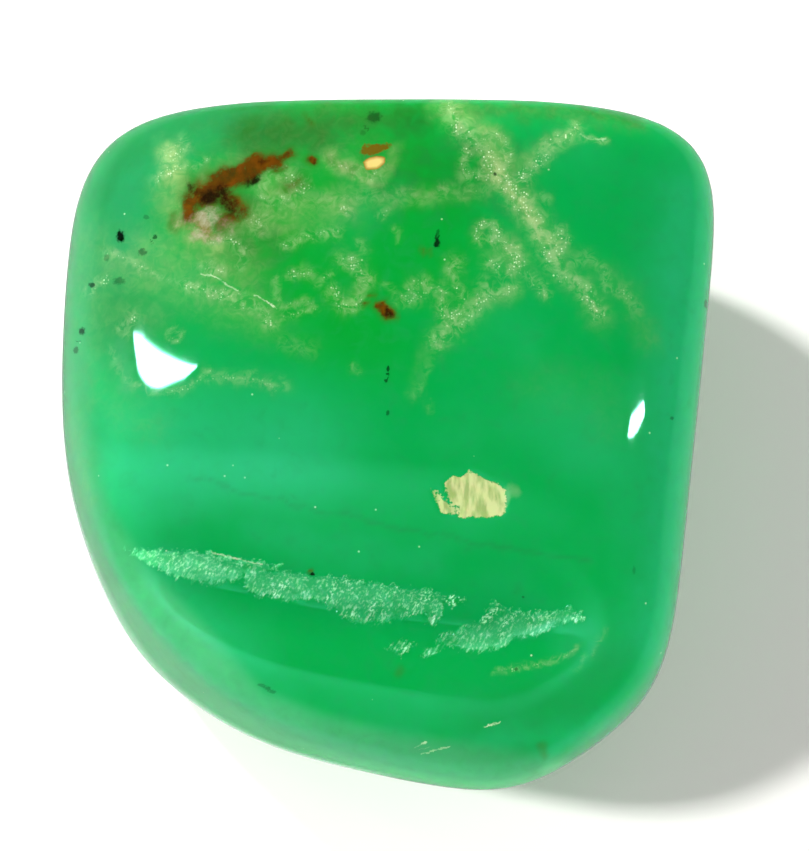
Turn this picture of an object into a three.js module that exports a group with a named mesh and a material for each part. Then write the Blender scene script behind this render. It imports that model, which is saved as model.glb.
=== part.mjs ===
// A tumbled chalcedony pebble: a block of rough stone, about 25 mm across, that a tumbling
// barrel has worn round. It is one solid piece. Millimetres, +Z up, X to the right, Y away
// from the viewer. The origin lies under the middle of the stone, on the plane it rests on.
import * as THREE from "three";
import { mergeVertices } from "three/addons/utils/BufferGeometryUtils.js";

// The flats that were left from the rough block. azimuth is the way a flat faces, counted
// from +X towards +Y. tilt is how far it leans up from facing sideways, so 90 faces straight
// up. reach is its distance from the heart of the stone.
const FLATS = [
  { name: "plateau", azimuth: 270, tilt: 86, reach: 6.8 },
  { name: "front slope", azimuth: 268, tilt: 73, reach: 6.7 },
  { name: "left crown", azimuth: 181, tilt: 68, reach: 9.2 },
  { name: "left shoulder", azimuth: 184, tilt: 46, reach: 11.35 },
  { name: "right crown", azimuth: -8, tilt: 68, reach: 9.0 },
  { name: "right shoulder", azimuth: -14, tilt: 43, reach: 11.3 },
  { name: "belly front", azimuth: 262, tilt: -81, reach: 6.7 },
  { name: "belly right", azimuth: -4, tilt: -82, reach: 6.8 },
  { name: "belly back", azimuth: 84, tilt: -83, reach: 6.8 },
  { name: "belly left", azimuth: 175, tilt: -82, reach: 6.9 },
  { name: "front underside", azimuth: 262, tilt: -46, reach: 10.3 },
  { name: "front right underside", azimuth: -52, tilt: -40, reach: 12.6 },
  { name: "right underside", azimuth: 4, tilt: -40, reach: 11.3 },
  { name: "back right underside", azimuth: 47, tilt: -40, reach: 13.0 },
  { name: "back underside", azimuth: 84, tilt: -42, reach: 11.4 },
  { name: "back left underside", azimuth: 134, tilt: -40, reach: 12.8 },
  { name: "left underside", azimuth: 186, tilt: -36, reach: 11.8 },
  { name: "back", azimuth: 90, tilt: 4, reach: 11.2 },
  { name: "back right corner", azimuth: 44, tilt: 5, reach: 15.8 },
  { name: "right", azimuth: -6, tilt: -3, reach: 11.4 },
  { name: "front right corner", azimuth: -53, tilt: 3, reach: 14.4 },
  { name: "front", azimuth: 257, tilt: 6, reach: 13.05 },
  { name: "front left corner", azimuth: 227, tilt: 3, reach: 12.5 },
  { name: "front left side", azimuth: 203, tilt: 3, reach: 12.4 },
  { name: "left", azimuth: 178, tilt: 3, reach: 12.35 },
  { name: "back left corner", azimuth: 136, tilt: 9, reach: 15.3 },
];
// How sharply the flats meet: a high number leaves crisp edges, a low one a ball.
const EDGE_SHARPNESS = 16;
const REST_DEPTH = 0.12; // how much of the belly is worn into the flat spot it rests on

// The hollow that the barrel never polished: a shallow valley across the front slope, with
// a rough notch along its bed. Its line is an arc, given by its two ends and its bow.
const HOLLOW = {
  start: new THREE.Vector2(-9.5, -4.9),
  end: new THREE.Vector2(7.7, -7.3),
  lowest: 6, // it is only cut into skin above this height
  bow: -0.7, // the middle of the line lies this far from the straight chord
  valleyDepth: 0.55,
  valleyWidth: 2.1,
  notchDepth: 0.35,
  notchWidth: 0.8,
};

// How finely the skin is divided: 20 * (RINGS + 1)^2 triangles.
const RINGS = 20;
// The stone is flatter than a ball, so its skin is spread from an ellipsoid of these radii.
const SPREAD = new THREE.Vector3(12, 12.5, 7.5);

const radians = THREE.MathUtils.degToRad;

function facing({ azimuth, tilt }) {
  const level = Math.cos(radians(tilt));
  return new THREE.Vector3(
    level * Math.cos(radians(azimuth)),
    level * Math.sin(radians(azimuth)),
    Math.sin(radians(tilt)),
  );
}

const flats = FLATS.map((flat) => ({ normal: facing(flat), reach: flat.reach }));

// Distance from the heart to the worn skin. Each flat holds the skin back by its share of a
// power sum, so the flats stay nearly flat and the edges between them come out round.
function skinDistance(direction) {
  let sum = 0;
  for (const { normal, reach } of flats) {
    const share = Math.max(0, normal.dot(direction)) / reach;
    sum += share ** EDGE_SHARPNESS;
  }
  return sum ** (-1 / EDGE_SHARPNESS);
}

// Depth of the hollow at a place seen from above. It fades out at both ends of its line.
function hollowDepth(x, y) {
  const { start, end, bow, valleyDepth, valleyWidth, notchDepth, notchWidth } = HOLLOW;
  const along = end.clone().sub(start);
  const length = along.length();
  along.normalize();
  const offset = new THREE.Vector2(x, y).sub(start);
  const run = offset.dot(along) / length;
  const middle = 2 * run - 1;
  const off = along.cross(offset) - bow * (1 - middle ** 2);
  const fade = THREE.MathUtils.smoothstep(1.12 - Math.abs(middle), 0, 0.5);
  const valley = valleyDepth * Math.exp(-((off / valleyWidth) ** 2));
  const notch = notchDepth * Math.exp(-((off / notchWidth) ** 2));
  return fade * (valley + notch);
}

// The worn block, with its heart at the origin.
function wornBlock() {
  const ball = new THREE.IcosahedronGeometry(1, RINGS);
  ball.deleteAttribute("normal");
  ball.deleteAttribute("uv");
  const skin = mergeVertices(ball, 1e-5);
  const places = skin.getAttribute("position");
  const place = new THREE.Vector3();
  for (let i = 0; i < places.count; i += 1) {
    place.fromBufferAttribute(places, i).multiply(SPREAD).normalize();
    place.multiplyScalar(skinDistance(place));
    places.setXYZ(i, place.x, place.y, place.z);
  }
  return skin;
}

// Sets the stone down: the lowest REST_DEPTH of it becomes a level spot at z = 0, and the
// middle of its box comes over the origin.
function restOnSpot(skin) {
  skin.computeBoundingBox();
  const { min, max } = skin.boundingBox;
  skin.translate(-(min.x + max.x) / 2, -(min.y + max.y) / 2, -(min.z + REST_DEPTH));
  const places = skin.getAttribute("position");
  for (let i = 0; i < places.count; i += 1) {
    places.setZ(i, Math.max(0, places.getZ(i)));
  }
}

// Sinks the hollow into the upper side.
function carveHollow(skin) {
  const places = skin.getAttribute("position");
  for (let i = 0; i < places.count; i += 1) {
    const height = places.getZ(i);
    if (height < HOLLOW.lowest) continue;
    places.setZ(i, height - hollowDepth(places.getX(i), places.getY(i)));
  }
}

const skin = wornBlock();
restOnSpot(skin);
carveHollow(skin);
skin.computeVertexNormals();

const chrysoprase = new THREE.MeshStandardMaterial({
  name: "chrysoprase",
  color: "#1fae5c",
  roughness: 0.08,
  metalness: 0,
});

const stone = new THREE.Mesh(skin, chrysoprase);
stone.name = "stone";

const group = new THREE.Group();
group.add(stone);

export default group;
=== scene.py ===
# %% [markdown]
# # Tumbled chrysoprase pebble
#
# The object is one stone, about 25 mm across. A tumbling barrel has worn it round and
# polished it, but one hollow on its front slope was too deep for the barrel and stayed rough.
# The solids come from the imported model. This script gives them the fine skin, the markings,
# the polish and the light of the photograph, all in one frame and in metres.

import math

import bpy
import numpy as np
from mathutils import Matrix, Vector, noise
from mathutils.bvhtree import BVHTree


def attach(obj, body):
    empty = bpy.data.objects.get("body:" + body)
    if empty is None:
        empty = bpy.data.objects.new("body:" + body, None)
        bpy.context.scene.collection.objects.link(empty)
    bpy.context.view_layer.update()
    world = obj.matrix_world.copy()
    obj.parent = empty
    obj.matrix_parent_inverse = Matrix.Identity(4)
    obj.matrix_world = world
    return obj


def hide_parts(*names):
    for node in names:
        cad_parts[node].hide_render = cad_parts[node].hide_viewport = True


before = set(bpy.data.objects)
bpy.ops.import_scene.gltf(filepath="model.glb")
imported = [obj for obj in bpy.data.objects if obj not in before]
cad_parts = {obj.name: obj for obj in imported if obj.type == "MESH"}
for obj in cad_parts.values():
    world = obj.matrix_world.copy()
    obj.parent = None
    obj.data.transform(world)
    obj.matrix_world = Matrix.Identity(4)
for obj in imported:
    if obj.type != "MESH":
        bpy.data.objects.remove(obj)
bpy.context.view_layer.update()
MM = 0.001

# %% [markdown]
# ## The camera
#
# The photograph is a close-up from high above the front. A camera could be framed by eye, but
# the markings below are placed by their spot in the picture, so the camera comes first and
# stays fixed. A long lens from 170 mm away gives the mild perspective of a close-up.

# %% Camera at the photograph's angle
PICTURE_WIDTH, PICTURE_HEIGHT = 809, 851
VIEW_TILT = math.radians(74)
VIEW_DISTANCE = 170 * MM
LENS, SENSOR = 192, 36    # mm
CLIP = (0.01, 10)         # metres
AIM = Vector((0.64, 1.27, 6.45)) * MM

RIGHT = np.array([1.0, 0.0, 0.0])
AHEAD = np.array([0.0, math.cos(VIEW_TILT), -math.sin(VIEW_TILT)])
UP = np.array([0.0, math.sin(VIEW_TILT), math.cos(VIEW_TILT)])
eye = np.array(AIM) - AHEAD * VIEW_DISTANCE

camera = bpy.data.objects.new("camera", bpy.data.cameras.new("camera"))
camera.data.lens = LENS
camera.data.sensor_width = SENSOR
camera.data.clip_start, camera.data.clip_end = CLIP
camera.location = eye
camera.rotation_euler = (math.pi / 2 - VIEW_TILT, 0, 0)
bpy.context.scene.collection.objects.link(camera)
bpy.context.scene.camera = camera
print("camera at, mm:", np.round(eye / MM, 1))

# %% [markdown]
# ## From a place on the stone to a spot in the picture
#
# A marking is easiest to give by where the photograph shows it. This function finds the pixel
# on which each point of the stone falls, so a marking drawn in pixels can be worked out once
# for every point of the skin and is then kept on the mesh, whatever camera looks at it.

# %% Pixel on which a point falls
def picture_spots(points):
    offset = points - eye
    depth = offset @ AHEAD
    zoom = LENS / SENSOR * PICTURE_HEIGHT / depth
    across = PICTURE_WIDTH / 2 + (offset @ RIGHT) * zoom
    down = PICTURE_HEIGHT / 2 - (offset @ UP) * zoom
    return np.stack([across, down], axis=1)


MM_PER_PIXEL = VIEW_DISTANCE / MM / (LENS / SENSOR * PICTURE_HEIGHT)
print("one pixel on the stone is", round(MM_PER_PIXEL, 4), "mm")

# %% [markdown]
# ## The skin
#
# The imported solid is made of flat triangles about 0.7 mm wide, and a polished stone shows
# every one of them in its reflections. The skin could be the solid with more subdivision, but
# that spends as many points on the hidden belly as on the marked face. So a smooth copy of the
# solid is made first, and a net that is finest on top is then cast onto it from the heart of
# the stone.

# %% Smooth copy of the solid
HEART = np.array([0.0, 0.0, 6.6]) * MM
WELD_GAP, ROUNDINGS = 0.001 * MM, 2

cad_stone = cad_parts["stone"]
smooth = bpy.data.objects.new("smooth", cad_stone.data.copy())
bpy.context.scene.collection.objects.link(smooth)
weld = smooth.modifiers.new("weld", "WELD")
weld.merge_threshold = WELD_GAP
rounder = smooth.modifiers.new("rounder", "SUBSURF")
rounder.levels = ROUNDINGS
smooth_mesh = smooth.evaluated_get(bpy.context.evaluated_depsgraph_get()).to_mesh()
smooth_tree = BVHTree.FromPolygons(
    [v.co.copy() for v in smooth_mesh.vertices],
    [tuple(p.vertices) for p in smooth_mesh.polygons],
)
print("smooth copy:", len(smooth_mesh.vertices), "points")
bpy.data.objects.remove(smooth)

# %% [markdown]
# ## The net
#
# The net is a box of cells: a fine lid for the marked face, walls, and a coarse base for the
# belly. A ball's grid of longitudes would be simpler, but it crowds its points at two poles,
# and one of them would lie in the middle of the plateau.

# %% The net's cage
# The cage has the stone's rough build: a lid that slopes down to the front, and a smaller base.
# Its corners are in mm from the heart.
LID_CELLS = 232           # cells along each side of the lid, 0.1 mm apart on the stone
COARSER = 4               # how much wider the base's cells are
BASE_CELLS = LID_CELLS // COARSER
WALL_ROWS = 26
WALL_GRADE = 1.6          # rows get taller towards the base
LID_CORNERS = np.array([[-11.5, -12, 2.4], [11.5, -12, 2.4], [11.5, 12, 6.2], [-11.5, 12, 6.2]])
BASE_CORNERS = np.array([[-8.5, -8, -5], [8.5, -8, -5], [8.5, 9, -5], [-8.5, 9, -5]])


def patch(corners, across, along):
    """A place on a four-cornered sheet, by its shares of the way across and along."""
    front = corners[0] + (corners[1] - corners[0]) * across
    back = corners[3] + (corners[2] - corners[3]) * across
    return front + (back - front) * along


def rim(cells):
    """The steps once around a square net, as (column, row)."""
    steps = [(i, 0) for i in range(cells)]
    steps += [(cells, j) for j in range(cells)]
    steps += [(cells - i, cells) for i in range(cells)]
    steps += [(0, cells - j) for j in range(cells)]
    return steps


print("cells on the lid:", LID_CELLS**2)

# %% Lid of the net
cage, faces = [], []
lid = {}
for j in range(LID_CELLS + 1):
    for i in range(LID_CELLS + 1):
        lid[i, j] = len(cage)
        cage.append(patch(LID_CORNERS, i / LID_CELLS, j / LID_CELLS))
for j in range(LID_CELLS):
    for i in range(LID_CELLS):
        faces.append((lid[i, j], lid[i + 1, j], lid[i + 1, j + 1], lid[i, j + 1]))
print("lid:", len(cage), "points")

# %% Walls of the net
upper_rim = [lid[step] for step in rim(LID_CELLS)]
lower_places = [patch(BASE_CORNERS, i / LID_CELLS, j / LID_CELLS) for i, j in rim(LID_CELLS)]
ring = upper_rim
for row in range(1, WALL_ROWS + 1):
    share = (row / WALL_ROWS) ** WALL_GRADE
    below = []
    for top, bottom in zip(upper_rim, lower_places):
        below.append(len(cage))
        cage.append(cage[top] + (bottom - cage[top]) * share)
    for k in range(len(ring)):
        after = (k + 1) % len(ring)
        faces.append((ring[after], ring[k], below[k], below[after]))
    ring = below
print("lid and walls:", len(cage), "points")

# %% Base of the net
# The base has fewer columns, so its outer cells also take in the spare rim points.
base, spare = {}, {}
for k, step in enumerate(rim(BASE_CELLS)):
    base[step] = ring[COARSER * k]
    spare[step] = ring[COARSER * k + 1 : COARSER * k + COARSER]
for j in range(1, BASE_CELLS):
    for i in range(1, BASE_CELLS):
        base[i, j] = len(cage)
        cage.append(patch(BASE_CORNERS, i / BASE_CELLS, j / BASE_CELLS))
last = BASE_CELLS
for j in range(last):
    for i in range(last):
        cell = [base[i, j]]
        cell += spare[i, j] if j == 0 else []
        cell += [base[i + 1, j]]
        cell += spare[i + 1, j] if i == last - 1 else []
        cell += [base[i + 1, j + 1]]
        cell += spare[i + 1, j + 1] if j == last - 1 else []
        cell += [base[i, j + 1]]
        cell += spare[i, j + 1] if i == 0 else []
        faces.append(tuple(reversed(cell)))
cage = np.array(cage)
print("net:", len(cage), "points,", len(faces), "cells")

# %% Cast the net onto the smooth copy
skin = np.zeros_like(cage)
for k, way in enumerate(cage):
    hit = smooth_tree.ray_cast(Vector(HEART), Vector(way).normalized())[0]
    skin[k] = hit
print("cast net spans, mm:", np.round((skin.max(0) - skin.min(0)) / MM, 2))

# %% Relax the net
# A few rounds of moving each point towards its neighbours take the last facets out. The wide
# cells near the base move less, so that they don't shrink.
pairs = set()
for face in faces:
    for a, b in zip(face, face[1:] + face[:1]):
        pairs.add((min(a, b), max(a, b)))
pairs = np.array(sorted(pairs))
neighbours = np.bincount(pairs.ravel(), minlength=len(skin))


def neighbour_mean(values):
    total = np.zeros_like(values)
    np.add.at(total, pairs[:, 0], values[pairs[:, 1]])
    np.add.at(total, pairs[:, 1], values[pairs[:, 0]])
    return total / neighbours.reshape(-1, *[1] * (values.ndim - 1))


RELAX_ROUNDS, PULL = 14, 0.5
FULL_PULL_SPAN = 0.14 * MM
span = np.linalg.norm(skin[pairs[:, 0]] - skin[pairs[:, 1]], axis=1)
reach = np.zeros(len(skin))
np.maximum.at(reach, pairs[:, 0], span)
np.maximum.at(reach, pairs[:, 1], span)
pull = PULL * np.clip(FULL_PULL_SPAN / reach, 0, 1) ** 2
for _ in range(RELAX_ROUNDS):
    skin += (neighbour_mean(skin) - skin) * pull[:, None]
print("widest cells, mm:", round(float(reach.max()) / MM, 2))

# %% Outward direction of the skin at each point
FULLY_SEEN = 0.2          # markings fade out where the skin turns further away than this
TINY = 1e-12              # keeps a division by nothing away


def outward(points):
    """The unit normal at each point of the net, as the mean of the cells round it."""
    turn = np.zeros_like(points)
    corners = np.array([face[:4] for face in faces])
    a, b, c, d = (points[corners[:, k]] for k in range(4))
    normal = np.cross(c - a, d - b)
    for k in range(4):
        np.add.at(turn, corners[:, k], normal)
    return turn / np.maximum(np.linalg.norm(turn, axis=1, keepdims=True), TINY)


ways_out = outward(skin)
to_eye = eye - skin
to_eye /= np.linalg.norm(to_eye, axis=1, keepdims=True)
turned = (ways_out * to_eye).sum(1)       # 1 faces the camera, below 0 faces away
facing = np.clip(turned / FULLY_SEEN, 0, 1)
spots = picture_spots(skin)
print("share of points that face the camera:", round(float((facing > 0).mean()), 3))

# %% [markdown]
# ## Strokes and outlines
#
# Every marking is a stroke, a ring, a dot or an outline of a few given points. Two helpers
# measure how far each point of the skin lies from them.

# %% Distance from strokes and outlines
FAR_OFF, FAR_OUTSIDE = 1e3, -9.0            # mm, for points that no mark reaches


def stroke_offset(path, places=spots):
    """The way from each point of the skin to the nearest point of a stroke, in mm."""
    best = np.full(len(places), np.inf)
    way = np.full((len(places), 2), FAR_OFF)
    for start, end in zip(path, path[1:]):
        run = np.subtract(end, start).astype(float)
        along = np.clip((places - start) @ run / max(run @ run, TINY), 0, 1)
        to = (np.array(start) + along[:, None] * run - places) * MM_PER_PIXEL
        gap = np.hypot(to[:, 0], to[:, 1])
        closer = gap < best
        best[closer] = gap[closer]
        way[closer] = to[closer]
    return way, best


def outline_depth(outline, hidden_too=False):
    """How deep each point of the skin lies inside an outline, in mm. Outside is negative."""
    closed = list(outline) + [outline[0]]
    gap = stroke_offset(closed)[1]
    odd = np.zeros(len(spots), bool)
    for (x1, y1), (x2, y2) in zip(closed, closed[1:]):
        if y1 == y2:
            continue
        crosses = (y1 > spots[:, 1]) != (y2 > spots[:, 1])
        odd ^= crosses & (spots[:, 0] < x1 + (spots[:, 1] - y1) * (x2 - x1) / (y2 - y1))
    depth = np.where(odd, gap, -gap)
    return depth if hidden_too else np.where(facing > 0, depth, FAR_OUTSIDE)


middle_gap = stroke_offset([(PICTURE_WIDTH / 2, 0), (PICTURE_WIDTH / 2, PICTURE_HEIGHT)])[1]
print("farthest point from the picture's middle line, mm:", round(float(middle_gap.max()), 2))

# %% Soft marks with ragged edges
# Nature draws no smooth strokes, so a soft mark is measured from spots that noise has moved.
# Without a seed the noise would differ from run to run.
NOISE_SEED = 11
RAGGED = [(0.9, 5.0), (0.35, 4.0)]  # size of the noise in mm, how far it moves a spot in pixels
noise.seed_set(NOISE_SEED)
ragged_spots = spots.copy()
for k, point in enumerate(skin / MM):
    for size, shift in RAGGED:
        turn = noise.noise_vector(Vector(point) / size)
        ragged_spots[k] += shift * turn.x, shift * turn.y


def thickness_of(marks):
    """How thick soft marks are. A mark is a path and its half width, in pixels, and strength."""
    thickness = np.zeros(len(spots))
    for path, half_width, strength in marks:
        gap = stroke_offset(path, ragged_spots)[1] / MM_PER_PIXEL
        thickness = np.maximum(thickness, strength * np.exp(-((gap / half_width) ** 2)))
    return thickness * facing


def ring_of(x, y, radius, corners=10):
    """A ring as a stroke, in pixels."""
    turns = [2 * math.pi * k / corners for k in range(corners + 1)]
    return [(x + radius * math.cos(turn), y + radius * math.sin(turn)) for turn in turns]


moved = np.hypot(*(ragged_spots - spots).T)
print("noise moves a spot by up to", round(float(moved.max()), 1), "pixels")

# %% [markdown]
# ## Frost veins
#
# Pale, frosty veins run through the upper half. They are healed cracks, filled with milky
# quartz: fine grains, thick along a line and thin beside it. The strokes here only say where
# the frost is and how thick. Its grain comes later, from noise in the material.

# %% Strokes of the frost
# A mark is its path, its half width and its strength. A ring has its centre and radius first.
FROST_VEINS = [
    ([(450, 112), (462, 130), (476, 140), (490, 157), (500, 175)], 9, 0.9),
    ([(476, 136), (500, 139), (506, 155), (507, 176)], 5, 0.8),
    ([(470, 146), (463, 160), (465, 175), (482, 177), (500, 178)], 5, 0.7),
    ([(500, 175), (512, 190), (525, 205), (536, 222), (545, 242), (552, 262)], 10, 1.0),
    ([(552, 262), (563, 276), (580, 288), (592, 302), (598, 312)], 7, 0.95),
    ([(513, 186), (530, 172), (541, 156), (556, 142), (576, 129)], 7, 0.8),
    ([(576, 129), (582, 136), (594, 140), (606, 139)], 3, 0.8),
    ([(545, 236), (560, 231), (568, 237)], 4, 0.8),
    ([(494, 240), (508, 250), (519, 261), (507, 271), (492, 262)], 7, 0.9),
    ([(520, 262), (526, 275), (540, 282), (546, 296)], 5, 0.7),
    ([(506, 290), (487, 291), (477, 306), (464, 321), (447, 335), (437, 344)], 8, 0.8),
    ([(437, 344), (428, 366), (413, 398)], 3, 0.2),
    ([(422, 388), (430, 412)], 3, 0.2),
    ([(455, 262), (457, 281), (462, 297), (457, 314), (446, 325), (441, 306), (440, 290)], 6, 0.8),
    ([(570, 262), (587, 255), (600, 268), (607, 285), (625, 292), (636, 310)], 6, 0.45),
    ([(542, 197), (547, 200)], 4, 0.6),
    ([(245, 216), (275, 214), (300, 205), (325, 199), (370, 195), (420, 195), (490, 189)], 7, 0.35),
    ([(160, 178), (172, 172), (166, 158), (181, 146)], 7, 0.7),
    ([(172, 161), (184, 167), (197, 166), (204, 160)], 4, 0.75),
    ([(210, 241), (233, 240), (245, 250), (240, 265)], 6, 0.85),
    ([(108, 250), (135, 267), (155, 277), (180, 283), (210, 290), (236, 297), (262, 306)], 4, 0.6),
    ([(190, 287), (212, 293), (236, 299), (262, 308), (268, 322)], 6, 0.85),
    ([(200, 268), (214, 266), (221, 270)], 5, 0.7),
    ([(275, 280), (275, 295), (285, 305), (308, 302)], 3, 0.6),
    ([(283, 318), (312, 310)], 3, 0.5),
    ([(340, 257), (357, 264), (366, 280), (360, 301), (347, 306), (332, 295)], 6, 0.85),
    ([(292, 275), (310, 271)], 5, 0.75),
    ([(318, 281), (330, 275)], 4, 0.5),
    ([(285, 245), (300, 238), (316, 235), (336, 232)], 6, 0.75),
    ([(342, 207), (350, 215)], 4, 0.6),
    ([(382, 216), (388, 208)], 4, 0.6),
    ([(360, 240), (365, 251)], 4, 0.5),
    ([(262, 190), (272, 177), (290, 173), (306, 182), (301, 193), (280, 195)], 6, 0.7),
    ([(330, 158), (343, 165), (356, 172), (366, 180), (377, 174)], 7, 0.6),
    ([(245, 216), (262, 228), (255, 214)], 8, 0.5),
    ([(410, 285), (424, 280), (428, 291), (417, 297), (400, 297)], 6, 0.7),
    ([(380, 285), (392, 293)], 3, 0.4),
    ([(395, 230), (399, 238)], 3, 0.5),
    ([(205, 376), (250, 380), (285, 386)], 5, 0.5),
    ([(122, 326), (136, 317)], 6, 0.6),
    ([(285, 340), (310, 348)], 8, 0.25),
    ([(360, 372), (352, 366)], 3, 0.3),
    ([(496, 672), (522, 667), (544, 663), (567, 654), (577, 645)], 1.8, 0.7),
    ([(590, 660), (598, 640), (605, 630)], 2, 0.35), ([(576, 671), (582, 656)], 2, 0.3),
    ([(286, 315), (300, 314), (313, 308)], 3, 0.7),
    ([(88, 292), (96, 281), (107, 277)], 3, 0.8),
    ([(125, 335), (128, 320)], 4, 0.6),
    ([(112, 350), (118, 372), (132, 385)], 4, 0.4),
    ([(134, 382), (150, 391), (176, 392), (198, 380), (206, 368)], 3, 0.7),
]
FROST_RINGS = [
    (487, 232, 9, 5, 0.9), (552, 244, 9, 5, 0.9), (174, 335, 6, 2, 0.5), (276, 186, 18, 5, 0.7),
]
FROST_HAZES = [
    ([(176, 190), (188, 235), (215, 242)], 20, 0.7),
    ([(170, 155), (178, 172)], 13, 0.85),
    ([(205, 182), (240, 166)], 15, 0.5),
    ([(276, 186), (278, 186)], 24, 0.5),
    ([(230, 222), (290, 215), (345, 203)], 18, 0.48),
    ([(345, 203), (420, 196), (490, 191)], 9, 0.22),
    ([(331, 158), (348, 168), (368, 178)], 10, 0.75),
    ([(364, 182), (386, 172), (396, 148)], 7, 0.5),
    ([(115, 262), (150, 275), (200, 292), (262, 314)], 22, 0.32),
    ([(92, 240), (96, 320), (150, 312)], 26, 0.14),
    ([(440, 108), (540, 110), (640, 122)], 10, 0.18),
    ([(150, 262), (200, 255), (235, 268)], 32, 0.42),
    ([(220, 190), (270, 150), (330, 130)], 60, 0.12),
    ([(446, 106), (468, 120), (492, 140)], 13, 0.75),
    ([(492, 140), (500, 176)], 13, 0.9),
    ([(500, 176), (525, 205), (545, 240)], 10, 0.85),
    ([(545, 240), (562, 268), (592, 297), (600, 316)], 14, 0.22),
    ([(560, 250), (600, 270), (630, 300), (650, 340)], 12, 0.15),
    ([(500, 176), (540, 152), (576, 130)], 9, 0.4),
    ([(512, 292), (482, 300), (450, 325)], 10, 0.28),
    ([(450, 325), (425, 350), (412, 395)], 6, 0.1),
    ([(505, 250), (515, 262)], 15, 0.5),
    ([(540, 385), (600, 395), (610, 420)], 24, 0.05),
    ([(85, 300), (100, 400), (150, 425)], 22, 0.1),
    ([(75, 420), (85, 500)], 14, 0.12),
]

# %% Thickness of the frost
HALO_WIDTH, HALO_STRENGTH = 1.5, 0.17       # the thin haze that goes with each vein
frost_marks = FROST_VEINS + [
    (ring_of(x, y, radius), width, strength) for x, y, radius, width, strength in FROST_RINGS
]
frost = thickness_of(frost_marks)
halos = [(path, HALO_WIDTH * w, HALO_STRENGTH * strength) for path, w, strength in frost_marks]
haze = np.maximum(thickness_of(halos), thickness_of(FROST_HAZES))
MARKED = 0.2              # strength from which a mark counts as there
print("points with some frost:", int((frost > MARKED).sum()))

# %% [markdown]
# ## Rust and iron
#
# The brown smear at the top left is limonite, an iron rust that seeped into a crack. It has a
# reddish body, a nearly black core, and a pale shard of quartz at its lower end. Each gets a
# thickness of its own, because each has a colour of its own.

# %% Strokes of the rust
RUST_MARKS = [
    ([(200, 196), (216, 189)], 13, 1.2),
    ([(214, 187), (232, 176), (252, 169)], 11, 1.15),
    ([(288, 186), (300, 180)], 9, 0.5),
    ([(252, 166), (272, 162)], 10, 1.1),
    ([(272, 160), (292, 155)], 6, 0.95),
    ([(256, 157), (257, 160)], 4, 0.9),
    ([(187, 198), (191, 214)], 9, 1.0),
    ([(226, 198), (240, 211), (228, 221)], 13, 0.8),
    ([(174, 213), (173, 224), (178, 229)], 5, 0.45),
    ([(309, 162), (312, 163)], 4.5, 1.0),
    ([(276, 173), (284, 169)], 4, 0.55),
    ([(382, 308), (386, 315), (391, 313)], 6, 1.15),
    ([(367, 304), (368, 305)], 3.5, 0.75),
    ([(373, 297), (374, 298)], 2.5, 0.6),
    ([(309, 119), (310, 122)], 4.5, 0.55),
    ([(399, 670), (401, 672)], 5, 0.3),
    ([(542, 750), (544, 754)], 5, 0.35),
    ([(422, 248), (424, 252)], 3, 0.4),
    ([(432, 250), (433, 254)], 2.5, 0.35),
    ([(309, 573), (313, 572)], 2.5, 0.6),
    ([(330, 158), (352, 170)], 6, 0.28),
]
CORE_MARKS = [
    ([(204, 196), (222, 192)], 11, 1.05),
    ([(222, 197), (230, 208)], 11, 0.85),
    ([(191, 188), (197, 196)], 5, 0.7),
    ([(252, 180), (257, 177)], 6, 1.1),
    ([(263, 163), (268, 160)], 4, 0.65),
    ([(288, 155), (294, 153)], 4, 0.5),
    ([(239, 210), (236, 218)], 6, 0.45),
    ([(388, 312), (392, 314)], 4, 1.0),
    ([(314, 161), (314, 165)], 3, 0.8),
]
SHARD_MARKS = [
    ([(180, 218), (188, 226)], 9, 0.65),
    ([(202, 218), (206, 226)], 10, 1.2),
    ([(210, 207), (216, 216)], 8, 0.7),
    ([(196, 234), (216, 237)], 11, 0.8),
    ([(226, 224), (234, 230)], 9, 0.55),
]
ORANGE_OUTLINE = [(362, 145), (388, 143), (392, 146), (385, 150), (372, 156), (361, 154)]
rust, core, shard = thickness_of(RUST_MARKS), thickness_of(CORE_MARKS), thickness_of(SHARD_MARKS)
orange = outline_depth(ORANGE_OUTLINE)
print("points with some rust:", int((rust > MARKED).sum()))

# %% [markdown]
# ## Flecks and specks
#
# A cream fleck of weathered host rock lies open at the surface, and a small golden one near
# the rust. Black specks of chromite are scattered about. A fleck is an outline. A speck is a
# dot that is smaller than a few cells of the net, so the mesh keeps the way to its centre,
# measured in radii: that changes evenly across a cell, and the material can draw a sharp dot.

# %% Flecks as outlines
CREAM_OUTLINE = [
    (431, 488), (436, 489), (441, 496), (446, 503), (456, 507), (455, 515), (441, 513),
]
CREAM_BODY = [
    (444, 484), (452, 475), (461, 477), (469, 470), (481, 477), (490, 482), (497, 483),
    (505, 489), (507, 499), (504, 515), (493, 517), (470, 517), (463, 519), (458, 516),
    (459, 506), (448, 498),
]
CREAM_LOBE = [(500, 490), (508, 484), (519, 487), (521, 494), (512, 499), (505, 508)]
GOLD_OUTLINE = [(363, 162), (368, 158), (377, 156), (385, 157), (385, 163), (378, 169), (366, 170)]
cream = np.maximum(outline_depth(CREAM_BODY), outline_depth(CREAM_OUTLINE))
cream_lobe = outline_depth(CREAM_LOBE)
gold = outline_depth(GOLD_OUTLINE)
print("points in the cream fleck:", int((cream > 0).sum()))

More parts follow.
